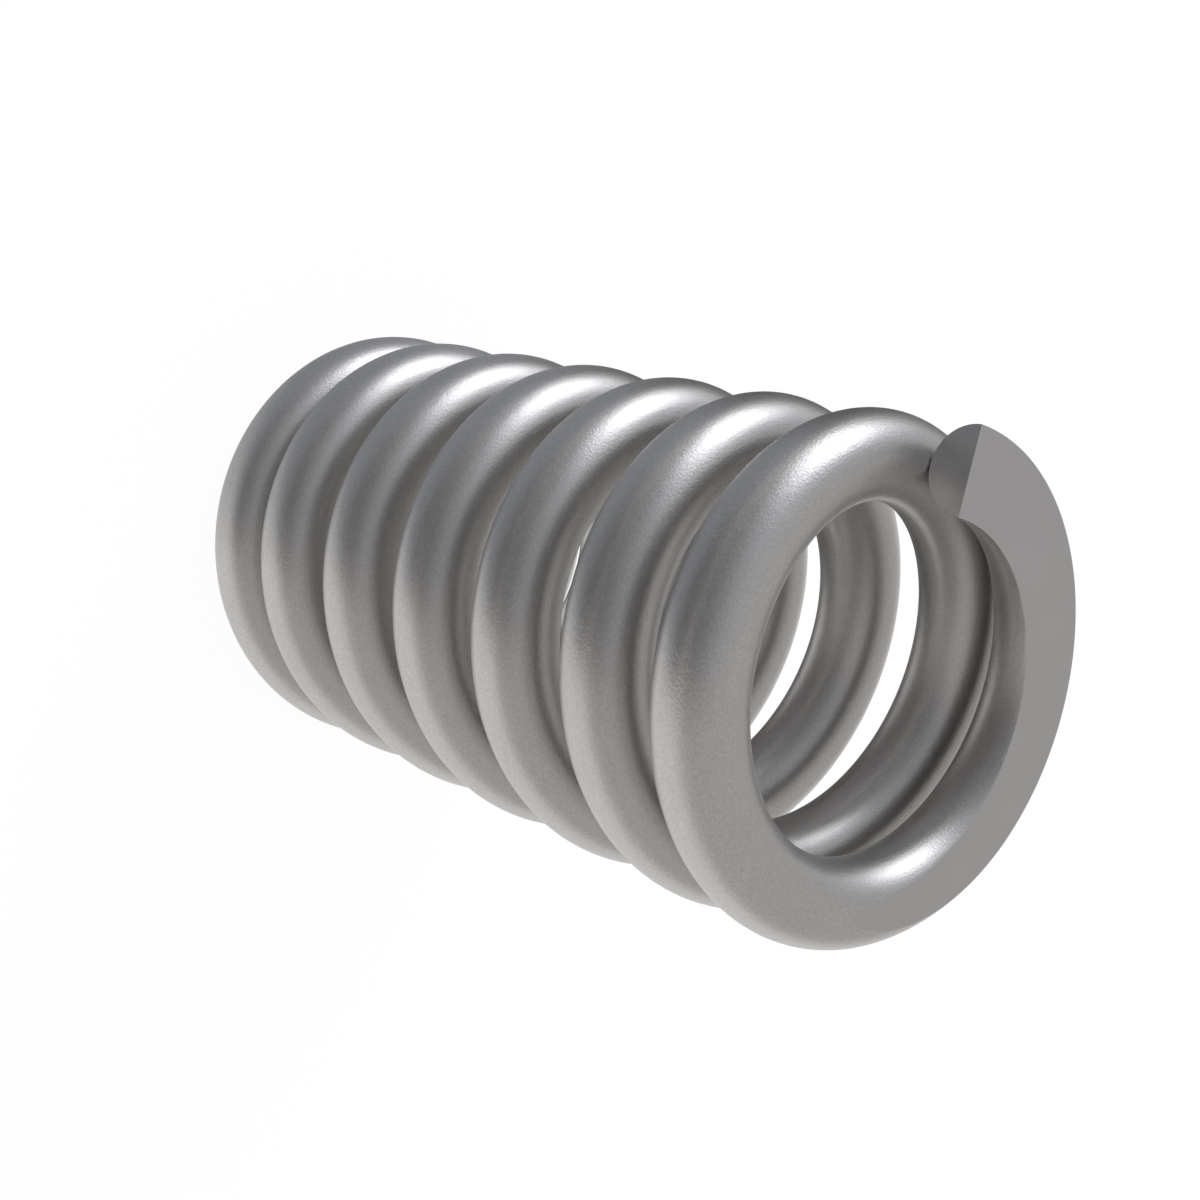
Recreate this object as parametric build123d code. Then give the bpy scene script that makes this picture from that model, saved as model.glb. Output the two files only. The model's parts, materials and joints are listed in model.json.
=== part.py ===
from build123d import *
import os
from math import cos, pi, sin

# Compression spring: one length of round wire wound right-handed, with a closed turn
# at each end and both ends ground flat.
# Millimetres. The origin is the centre of the bottom end, +Z runs up the coil's axis,
# and +X passes through the bottom tip of the wire.

# Driving dimensions
wire_diameter = 5.0
outer_diameter = 29.3  # over the coil
free_length = 51.0  # between the two ground ends
total_turns = 7.2  # from the bottom tip to the top tip
closed_turns = 0.99  # at each end, to the middle of the blend
blend_turns = 0.3  # over which the closed pitch opens to the working pitch
tip_thickness = 2.5  # of the wire's ground tips
tip_gap = 0.06  # air between a tip and the turn that it lies against
stations_per_turn = 16  # points that carry the wire's centre line

# Worked out
wire_radius = wire_diameter / 2
coil_radius = outer_diameter / 2 - wire_radius
tip_height = tip_thickness - wire_radius
blend_start = closed_turns - blend_turns / 2
blend_end = closed_turns + blend_turns / 2


def gained(turn):
    """Working turns, in place of closed ones, between a tip and this turn."""
    if turn < blend_start:
        return 0.0
    if turn < blend_end:
        return (turn - blend_start) ** 2 / (2 * blend_turns)
    return turn - closed_turns


# The centre line rises by closed_pitch * turn + pitch_step * gained(turn). Two things
# settle both pitches: the first full turn clears the tip below it, and half the
# turns rise to half the length.
first_rise = wire_diameter + tip_gap
half_turns = total_turns / 2
half_rise = free_length / 2 - tip_height
pitch_step = (half_rise - first_rise * half_turns) / (gained(half_turns) - gained(1) * half_turns)
closed_pitch = first_rise - gained(1) * pitch_step


def height(turn):
    """Height of the wire's centre, this many turns above the bottom tip."""
    if turn > half_turns:
        return free_length - height(total_turns - turn)
    return tip_height + closed_pitch * turn + pitch_step * gained(turn)


def centre(turn):
    """Centre of the wire, this many turns above the bottom tip."""
    angle = 2 * pi * turn
    return Vector(coil_radius * cos(angle), coil_radius * sin(angle), height(turn))


def heading(turn):
    """Direction of the wire in a closed turn."""
    angle = 2 * pi * turn
    return Vector(-sin(angle), cos(angle), closed_pitch / (2 * pi * coil_radius)).normalized()


def coil_wire():
    """The coiled wire, cut square at both tips."""
    count = round(total_turns * stations_per_turn)
    stations = [centre(total_turns * step / count) for step in range(count + 1)]
    directions = [heading(0), heading(total_turns)]
    centre_line = Spline(*stations, tangents=directions, tangent_scalars=(1, 1))
    section = Plane(origin=stations[0], z_dir=directions[0]) * Circle(wire_radius)
    return sweep(section, path=centre_line, is_frenet=True)


def grind_ends(wire):
    """Keep what lies between the two flat ends."""
    between = Cylinder(outer_diameter, free_length, align=(Align.CENTER, Align.CENTER, Align.MIN))
    return wire & between


spring = grind_ends(coil_wire())

os.makedirs("parts", exist_ok=True)
export_step(spring, "parts/spring.step")
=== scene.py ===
import json
from math import atan2, cos, pi, radians, tau

import bmesh
import bpy
from mathutils import Matrix, Vector


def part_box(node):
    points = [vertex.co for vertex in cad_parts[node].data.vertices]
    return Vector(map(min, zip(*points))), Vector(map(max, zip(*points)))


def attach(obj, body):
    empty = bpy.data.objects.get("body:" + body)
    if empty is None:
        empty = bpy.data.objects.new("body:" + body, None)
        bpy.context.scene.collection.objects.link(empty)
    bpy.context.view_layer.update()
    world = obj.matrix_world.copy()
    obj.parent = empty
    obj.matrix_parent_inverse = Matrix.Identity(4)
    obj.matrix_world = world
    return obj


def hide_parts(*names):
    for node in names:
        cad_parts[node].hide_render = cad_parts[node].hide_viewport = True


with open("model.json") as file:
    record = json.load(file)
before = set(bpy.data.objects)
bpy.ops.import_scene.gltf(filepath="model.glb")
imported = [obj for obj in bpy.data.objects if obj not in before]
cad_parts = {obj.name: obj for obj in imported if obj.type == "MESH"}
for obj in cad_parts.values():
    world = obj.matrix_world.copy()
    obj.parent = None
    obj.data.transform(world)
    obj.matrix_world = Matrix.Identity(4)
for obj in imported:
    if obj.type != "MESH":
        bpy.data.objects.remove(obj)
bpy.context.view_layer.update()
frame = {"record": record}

# A compression spring of round steel wire, standing on its ground end.
# Metres, with the origin at the centre of the bottom end and +Z up the coil's axis.

boxLow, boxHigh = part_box("spring")
mounts = {mount["name"]: mount["dims"] for mount in frame["record"]["mounts"]}
mmInMetre = 1000
print("frame loaded")


# The coiled wire

coil = {
    "coilDiameter": boxHigh.x - boxLow.x,
    "freeLength": boxHigh.z - boxLow.z,
    "wireDiameter": (mounts["outer_coil"]["r_mm"] - mounts["guide_bore"]["r_mm"]) / mmInMetre,
    "totalTurns": 7.2,
    "closedTurns": 0.99,  # at each end, to the middle of the blend
    "blendTurns": 0.3,  # from the closed pitch to the working one
    "tipThickness": 0.0025,
    "tipGap": 0.00006,  # from a tip to the next turn
    "sidesOfWire": 60,
    "stepsPerTurn": 150,
    "weld": 0.000001,
    "snap": 0.000012,  # points this near to a ground end are moved onto it
    "deburr": 0.00004,  # taken off the sharp rims of the ground ends and the tips
    "deburrSteps": 2,
    "groundSlot": 1,  # material slots; slot 0 is the drawn steel of the wire's own surface
    "cutSlot": 2,
}

wireRadius = coil["wireDiameter"] / 2
coilRadius = coil["coilDiameter"] / 2 - wireRadius
halfTurns = coil["totalTurns"] / 2
blendStart = coil["closedTurns"] - coil["blendTurns"] / 2
blendEnd = coil["closedTurns"] + coil["blendTurns"] / 2


def gainedTurns(turn):  # working turns, in place of closed ones, since the tip
    if turn < blendStart:
        return 0.0
    if turn < blendEnd:
        return (turn - blendStart) ** 2 / (2 * coil["blendTurns"])
    return turn - coil["closedTurns"]


tipHeight = coil["tipThickness"] - wireRadius
firstRise = coil["wireDiameter"] + coil["tipGap"]
halfRise = coil["freeLength"] / 2 - tipHeight
pitchStep = (halfRise - firstRise * halfTurns) / (gainedTurns(halfTurns) - gainedTurns(1) * halfTurns)
closedPitch = firstRise - gainedTurns(1) * pitchStep


def heightAt(turn):
    if turn > halfTurns:
        return coil["freeLength"] - heightAt(coil["totalTurns"] - turn)
    return tipHeight + closedPitch * turn + pitchStep * gainedTurns(turn)


def slopeAt(turn):  # the wire's climb against level, as an angle
    fromTip = min(turn, coil["totalTurns"] - turn)
    opened = min(max((fromTip - blendStart) / coil["blendTurns"], 0), 1)
    return atan2(closedPitch + pitchStep * opened, tau * coilRadius)


def placeAt(turn):  # stands a flat round section on the wire's line
    spinRound = Matrix.Rotation(tau * turn, 4, "Z")
    moveOut = Matrix.Translation((coilRadius, 0, heightAt(turn)))
    tipOver = Matrix.Rotation(slopeAt(turn) - pi / 2, 4, "X")
    return spinRound @ moveOut @ tipOver


def windSpan(firstTurn, lastTurn, steps, length):
    # straightWire is where each point lies when the wire is pulled straight, for its finish
    bm = bmesh.new()
    straight = bm.verts.layers.float_vector.new("straightWire")
    section = bmesh.ops.create_circle(bm, segments=coil["sidesOfWire"], radius=wireRadius)["verts"]
    for vert in section:
        vert[straight] = (length, vert.co.x, vert.co.y)
    bmesh.ops.transform(bm, matrix=placeAt(firstTurn), verts=section)
    edges = bm.edges[:]
    before = firstTurn
    for step in range(1, steps + 1):
        turn = firstTurn + (lastTurn - firstTurn) * step / steps
        drawn = bmesh.ops.extrude_edge_only(bm, edges=edges)["geom"]
        edges = [part for part in drawn if isinstance(part, bmesh.types.BMEdge)]
        section = [part for part in drawn if isinstance(part, bmesh.types.BMVert)]
        move = placeAt(turn) @ placeAt(before).inverted()
        bmesh.ops.transform(bm, matrix=move, verts=section)
        length += tau * coilRadius * (turn - before) / cos(slopeAt(turn))
        for vert in section:
            vert[straight].x = length
        before = turn
    mesh = bpy.data.meshes.new("span")
    bm.to_mesh(mesh)
    bm.free()
    return mesh, length


def windWire(bm):
    # each turn is drawn out by itself and then joined on, which is much faster
    steps = round(coil["totalTurns"] * coil["stepsPerTurn"])
    length = 0
    for first in range(0, steps, coil["stepsPerTurn"]):
        last = min(first + coil["stepsPerTurn"], steps)
        turnPerStep = coil["totalTurns"] / steps
        span, length = windSpan(first * turnPerStep, last * turnPerStep, last - first, length)
        bm.from_mesh(span)
        bpy.data.meshes.remove(span)
    bmesh.ops.remove_doubles(bm, verts=bm.verts, dist=coil["weld"])
    bmesh.ops.holes_fill(bm, edges=bm.edges)


def grindEnd(bm, height, outward):
    everything = bm.verts[:] + bm.edges[:] + bm.faces[:]
    cut = bmesh.ops.bisect_plane(
        bm, geom=everything, dist=coil["snap"], use_snap_center=True,
        plane_co=(0, 0, height), plane_no=(0, 0, outward), clear_outer=True,
    )["geom_cut"]
    rim = [part for part in cut if isinstance(part, bmesh.types.BMEdge)]
    return bmesh.ops.contextual_create(bm, geom=rim)["faces"]


def deburr(bm, faces):
    rims = list({edge for face in faces for edge in face.edges})
    bevelled = bmesh.ops.bevel(
        bm, geom=rims, affect="EDGES", offset=coil["deburr"], offset_type="OFFSET",
        segments=coil["deburrSteps"], profile=0.5, clamp_overlap=True, material=-1,
    )
    for face in bevelled["faces"]:
        face.smooth = False


def buildSpring():
    bm = bmesh.new()
    windWire(bm)
    for face in bm.faces:
        face.smooth = len(face.verts) == 4  # only the two cut tips have more corners
    ground = grindEnd(bm, 0, -1) + grindEnd(bm, coil["freeLength"], 1)
    for face in ground:
        face.smooth = False
    tips = [face for face in bm.faces if not face.smooth and face not in ground]
    bmesh.ops.recalc_face_normals(bm, faces=bm.faces)
    for face in ground:
        face.material_index = coil["groundSlot"]
    for face in tips:
        face.material_index = coil["cutSlot"]
    deburr(bm, ground + tips)
    mesh = bpy.data.meshes.new("springWire")
    bm.to_mesh(mesh)
    bm.free()
    piece = bpy.data.objects.new("springWire", mesh)
    bpy.context.scene.collection.objects.link(piece)
    return piece


springWire = buildSpring()
print("wire wound, ends ground:", len(springWire.data.polygons), "faces")


# Materials


def newMaterial(name):
    material = bpy.data.materials.new(name)
    material.use_nodes = True
    tree = material.node_tree
    tree.nodes.clear()
    return material, tree


def addNode(tree, kind, inputs=None, **settings):
    node = tree.nodes.new(kind)
    for key, value in settings.items():
        setattr(node, key, value)
    for key, value in (inputs or {}).items():
        if isinstance(value, bpy.types.NodeSocket):
            tree.links.new(value, node.inputs[key])
        else:
            node.inputs[key].default_value = value
    return node


mixSockets = {"share": 0, "first": 6, "second": 7, "result": 2}  # of a Mix node that mixes colours


def addMix(tree, share, first, second):
    # runs from the first colour to the second with share
    mix = addNode(tree, "ShaderNodeMix", {
        mixSockets["share"]: share,
        mixSockets["first"]: (*first, 1),
        mixSockets["second"]: (*second, 1),
    }, data_type="RGBA")
    return mix.outputs[mixSockets["result"]]


def addRamp(tree, value, ends):
    # 0 at the first of the ends, 1 at the second
    return addNode(tree, "ShaderNodeMapRange", {
        "Value": value, "From Min": ends[0], "From Max": ends[1],
    }).outputs["Result"]


def addNoise(tree, place, size, detail):
    # noise with marks of this size along each axis, in metres
    scaled = addNode(tree, "ShaderNodeMapping", {"Vector": place, "Scale": [1 / side for side in size]})
    return addNode(tree, "ShaderNodeTexNoise", {
        "Vector": scaled.outputs["Vector"], "Scale": 1.0, "Detail": detail,
    }).outputs["Fac"]


noiseEnds = (0.25, 0.75)  # nearly all of the noise lies between these


def spread(tree, noise, middle, amount):
    # turns noise into a value that varies by about this amount each side of the middle
    return addNode(tree, "ShaderNodeMapRange", {
        "Value": noise, "From Min": noiseEnds[0], "From Max": noiseEnds[1],
        "To Min": middle - amount, "To Max": middle + amount,
    }, clamp=False).outputs["Result"]


def addBump(tree, heights):
    # heights are pairs of a noise and its depth in metres
    total = None
    for noise, depth in heights:
        total = addNode(tree, "ShaderNodeMath", {
            0: noise, 1: depth, 2: total.outputs[0] if total else 0.0,
        }, operation="MULTIPLY_ADD")
    return addNode(tree, "ShaderNodeBump", {
        "Height": total.outputs[0], "Distance": 1.0, "Strength": 1.0,
    }).outputs["Normal"]


drawnSteel = {
    "colour": (0.53, 0.515, 0.5),
    "shadeSpread": 0.03,
    "roughness": 0.39,
    "roughnessSpread": 0.02,
    "patchSize": (0.009, 0.0025, 0.0025),  # along the wire, then across it
    "patchDetail": 3,
    "lineSize": (0.012, 0.00022, 0.00022),  # drawing lines left by the die
    "lineDetail": 2,
    "lineDepth": 0.0000006,
    "grainSize": (0.00012, 0.00012, 0.00012),
    "grainDetail": 1,
    "grainDepth": 0.0000125,
    "grainShade": 0.1,
}


def drawnSteelMaterial():
    material, tree = newMaterial("drawnSteel")
    straight = addNode(tree, "ShaderNodeAttribute", attribute_name="straightWire").outputs["Vector"]
    patches = addNoise(tree, straight, drawnSteel["patchSize"], drawnSteel["patchDetail"])
    lines = addNoise(tree, straight, drawnSteel["lineSize"], drawnSteel["lineDetail"])
    grain = addNoise(tree, straight, drawnSteel["grainSize"], drawnSteel["grainDetail"])
    shade = addNode(tree, "ShaderNodeMath", {
        0: spread(tree, patches, 1, drawnSteel["shadeSpread"]),
        1: spread(tree, grain, 1, drawnSteel["grainShade"]),
    }, operation="MULTIPLY")
    tint = addNode(tree, "ShaderNodeHueSaturation", {
        "Color": (*drawnSteel["colour"], 1), "Value": shade.outputs[0],
    })
    shader = addNode(tree, "ShaderNodeBsdfPrincipled", {
        "Base Color": tint.outputs["Color"],
        "Metallic": 1.0,
        "Roughness": spread(tree, lines, drawnSteel["roughness"], drawnSteel["roughnessSpread"]),
        "Normal": addBump(tree, [(lines, drawnSteel["lineDepth"]), (grain, drawnSteel["grainDepth"])]),
    })
    addNode(tree, "ShaderNodeOutputMaterial", {"Surface": shader.outputs["BSDF"]})
    return material


groundSteel = {
    "colour": (0.506, 0.502, 0.502),
    "shadeSpread": 0.02,
    "roughness": 0.4,
    "roughnessSpread": 0.03,
    "patchSize": (0.004, 0.004, 0.004),
    "patchDetail": 3,
    "markSize": (0.009, 0.00012, 0.00012),  # fine lines of the grinding wheel, along X
    "markDetail": 2,
    "markDepth": 0.0000003,
}

cutSteel = {
    "colour": (0.69, 0.675, 0.665),
    "shadeSpread": 0.04,
    "roughness": 0.24,
    "roughnessSpread": 0.04,
    "patchSize": (0.0015, 0.0015, 0.0015),
    "patchDetail": 3,
    "markSize": (0.00018, 0.00018, 0.003),  # the shear's lines, up the cut
    "markDetail": 2,
    "markDepth": 0.000001,
}


def flatSteelMaterial(name, steel):
    material, tree = newMaterial(name)
    place = addNode(tree, "ShaderNodeTexCoord").outputs["Object"]
    patches = addNoise(tree, place, steel["patchSize"], steel["patchDetail"])
    marks = addNoise(tree, place, steel["markSize"], steel["markDetail"])
    tint = addNode(tree, "ShaderNodeHueSaturation", {
        "Color": (*steel["colour"], 1),
        "Value": spread(tree, patches, 1, steel["shadeSpread"]),
    })
    shader = addNode(tree, "ShaderNodeBsdfPrincipled", {
        "Base Color": tint.outputs["Color"],
        "Metallic": 1.0,
        "Roughness": spread(tree, marks, steel["roughness"], steel["roughnessSpread"]),
        "Normal": addBump(tree, [(marks, steel["markDepth"])]),
    })
    addNode(tree, "ShaderNodeOutputMaterial", {"Surface": shader.outputs["BSDF"]})
    return material


springWire.data.materials.append(drawnSteelMaterial())
springWire.data.materials.append(flatSteelMaterial("groundSteel", groundSteel))
springWire.data.materials.append(flatSteelMaterial("cutSteel", cutSteel))
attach(springWire, "root")
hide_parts("spring")
print("steel finished")


# Floor, light and camera


def addSheet(name, low, high):
    # a flat level sheet between two corners
    bm = bmesh.new()
    bmesh.ops.create_grid(bm, x_segments=1, y_segments=1, size=0.5)  # one metre a side
    low, high = Vector(low), Vector(high)
    bmesh.ops.scale(bm, vec=(high.x - low.x, high.y - low.y, 1), verts=bm.verts)
    bmesh.ops.translate(bm, vec=(low + high) / 2, verts=bm.verts)
    mesh = bpy.data.meshes.new(name)
    bm.to_mesh(mesh)
    bm.free()
    sheet = bpy.data.objects.new(name, mesh)
    bpy.context.scene.collection.objects.link(sheet)
    return sheet


floor = {
    "low": (-3, -3, 0),
    "high": (3, 3, 0),
    "paper": (0.9, 0.9, 0.9),
    "glowShare": 0.88,  # share of the floor's white that shadows don't dim
    "glow": 1.06,  # with the paper's own share, unshadowed floor comes to white
}


def buildFloor():
    sheet = addSheet("floor", floor["low"], floor["high"])
    material, tree = newMaterial("floorPaper")
    rays = addNode(tree, "ShaderNodeLightPath")
    shown = addNode(tree, "ShaderNodeMath", {
        0: rays.outputs["Is Camera Ray"], 1: rays.outputs["Is Glossy Ray"],
    }, operation="MAXIMUM")
    shown = addNode(tree, "ShaderNodeMath", {
        0: shown.outputs[0], 1: rays.outputs["Is Transmission Ray"],
    }, operation="MAXIMUM")
    share = addNode(tree, "ShaderNodeMath", {
        0: shown.outputs[0], 1: floor["glowShare"],
    }, operation="MULTIPLY")
    paper = addNode(tree, "ShaderNodeBsdfDiffuse", {"Color": (*floor["paper"], 1)})
    white = addNode(tree, "ShaderNodeEmission", {"Color": (1, 1, 1, 1), "Strength": floor["glow"]})
    mix = addNode(tree, "ShaderNodeMixShader", {
        0: share.outputs[0], 1: paper.outputs[0], 2: white.outputs[0],
    })
    addNode(tree, "ShaderNodeOutputMaterial", {"Surface": mix.outputs[0]})
    sheet.data.materials.append(material)


# Painted reflection: a glowing grey sheet just over the floor, beside the spring. It is hidden from the
# camera, from diffuse light and from shadows, so only the metal mirrors it, and it darkens what the
# metal reflects there. Its middle is lighter than its sides
paintedReflectionCard = {
    "low": (-0.4, 0, 0.0003),
    "high": (0.4, 0.4, 0.0003),
    # painted reflection colours: lighter in the middle, dark towards the sides
    "middleColour": (0.345, 0.365, 0.406),
    "sideColour": (0.098, 0.095, 0.09),
    "sideways": (0.005, 0.03),  # from middle to side colour, as the distance from X = 0
    "lampSideLean": 0.3,  # the middle colour reaches further towards +X by this share of Y
    "farSideStretch": 4,  # and this many times further towards -X
    "fadeIn": 0.014,  # from the edge by the spring
}


def onlyInMetal(thing, tree, shade, share):
    # a glow of this shade that fades in with share, and that only reflections see
    thing.visible_camera = False
    thing.visible_diffuse = False
    thing.visible_shadow = False
    glow = addNode(tree, "ShaderNodeEmission", {"Color": shade, "Strength": 1.0})
    clear = addNode(tree, "ShaderNodeBsdfTransparent")
    faded = addNode(tree, "ShaderNodeMixShader", {0: share, 1: clear.outputs[0], 2: glow.outputs[0]})
    addNode(tree, "ShaderNodeOutputMaterial", {"Surface": faded.outputs[0]})


def addPaintedReflectionCard():
    sheet = addSheet("paintedReflectionCard", paintedReflectionCard["low"], paintedReflectionCard["high"])
    material, tree = newMaterial("paintedReflectionCardGlow")
    place = addNode(tree, "ShaderNodeTexCoord").outputs["Object"]
    axes = addNode(tree, "ShaderNodeSeparateXYZ", {0: place})
    lampSide = addNode(tree, "ShaderNodeMath", {
        0: axes.outputs["Y"], 1: -paintedReflectionCard["lampSideLean"], 2: axes.outputs["X"],
    }, operation="MULTIPLY_ADD").outputs[0]
    farSide = addNode(tree, "ShaderNodeMath", {
        0: axes.outputs["X"], 1: -paintedReflectionCard["farSideStretch"],
    }, operation="DIVIDE").outputs[0]
    aside = addNode(tree, "ShaderNodeMath", {0: lampSide, 1: farSide}, operation="MAXIMUM").outputs[0]
    sideShare = addRamp(tree, aside, paintedReflectionCard["sideways"])
    # painted reflection: lighter in the middle, dark towards the sides
    shade = addMix(tree, sideShare, paintedReflectionCard["middleColour"], paintedReflectionCard["sideColour"])
    edge = paintedReflectionCard["low"][1]
    onlyInMetal(sheet, tree, shade, addRamp(tree, axes.outputs["Y"], (edge, edge + paintedReflectionCard["fadeIn"])))
    sheet.data.materials.append(material)


room = {
    "wallColour": (0.59, 0.572, 0.56),
}


def buildRoom():
    world = bpy.data.worlds.new("room")
    bpy.context.scene.world = world
    world.use_nodes = True
    tree = world.node_tree
    tree.nodes.clear()
    glow = addNode(tree, "ShaderNodeBackground", {"Color": (*room["wallColour"], 1), "Strength": 1.0})
    addNode(tree, "ShaderNodeOutputWorld", {"Surface": glow.outputs[0]})


# Painted reflection: a glowing cool dome round the +Y half of the room, that only the metal mirrors
# too. It is dim on one side as painted shade, and lighter on the side that the softbox is on as painted
# light
paintedReflectionDome = {
    "radius": 2,
    "segments": (32, 16),  # round it, then from pole to pole
    # painted reflection colours: painted shade on the dim side, painted light on the softbox's side
    "dimColour": (0.146, 0.142, 0.15),
    "lampSideColour": (0.513, 0.538, 0.572),
    "fadeIn": (-0.05, 0.15),  # as the Y of a direction
    "lampSide": (0.7071, 0, 0.7071),
    "sideBlend": (-0.5, 0.7),  # from dim to lighter, along that direction
}


def addPaintedReflectionDome():
    bm = bmesh.new()
    around, upwards = paintedReflectionDome["segments"]
    bmesh.ops.create_uvsphere(bm, u_segments=around, v_segments=upwards, radius=paintedReflectionDome["radius"])
    mesh = bpy.data.meshes.new("paintedReflectionDome")
    bm.to_mesh(mesh)
    bm.free()
    dome = bpy.data.objects.new("paintedReflectionDome", mesh)
    bpy.context.scene.collection.objects.link(dome)
    material, tree = newMaterial("paintedReflectionDomeGlow")
    place = addNode(tree, "ShaderNodeTexCoord").outputs["Object"]
    toward = addNode(tree, "ShaderNodeVectorMath", {0: place}, operation="NORMALIZE").outputs[0]
    axes = addNode(tree, "ShaderNodeSeparateXYZ", {0: toward})
    side = addNode(tree, "ShaderNodeVectorMath", {
        0: toward, 1: paintedReflectionDome["lampSide"],
    }, operation="DOT_PRODUCT")
    lampSide = addRamp(tree, side.outputs["Value"], paintedReflectionDome["sideBlend"])
    # painted reflection: dim away from the softbox, lighter towards it
    shade = addMix(tree, lampSide, paintedReflectionDome["dimColour"], paintedReflectionDome["lampSideColour"])
    onlyInMetal(dome, tree, shade, addRamp(tree, axes.outputs["Y"], paintedReflectionDome["fadeIn"]))
    mesh.materials.append(material)
    material.cycles.emission_sampling = "NONE"  # not sampled as a lamp, which renders faster


softbox = {
    "toward": (0.505, 0.799, 0.328),  # from the coil's middle
    "away": 0.6,
    "size": 0.4,
    "watts": 1.34,
    "colour": (0.97, 1.0, 1.06),
}


def addSoftbox():
    light = bpy.data.lights.new("softbox", "AREA")
    light.shape = "DISK"
    light.size = softbox["size"]
    light.energy = softbox["watts"]
    light.color = softbox["colour"]
    lamp = bpy.data.objects.new("softbox", light)
    toward = Vector(softbox["toward"]).normalized()
    lamp.location = toward * softbox["away"] + Vector((0, 0, coil["freeLength"] / 2))
    lamp.rotation_euler = toward.to_track_quat("Z", "Y").to_euler()
    bpy.context.scene.collection.objects.link(lamp)


camera = {
    "location": (-0.06562, 0.02799, 0.10335),
    "degrees": (-15.168, -40.201, -0.328),
    "lens": 49.59,
    "sensor": 36,
    "nearest": 0.001,
    "farthest": 100,
}


def addCamera():
    lens = bpy.data.cameras.new("camera")
    lens.lens = camera["lens"]
    lens.sensor_width = camera["sensor"]
    lens.clip_start = camera["nearest"]
    lens.clip_end = camera["farthest"]
    eye = bpy.data.objects.new("camera", lens)
    eye.location = camera["location"]
    eye.rotation_euler = [radians(angle) for angle in camera["degrees"]]
    bpy.context.scene.collection.objects.link(eye)
    bpy.context.scene.camera = eye


buildFloor()
addPaintedReflectionCard()
buildRoom()
addPaintedReflectionDome()
addSoftbox()
addCamera()
bpy.context.scene.view_settings.view_transform = "Standard"
print("stage set")
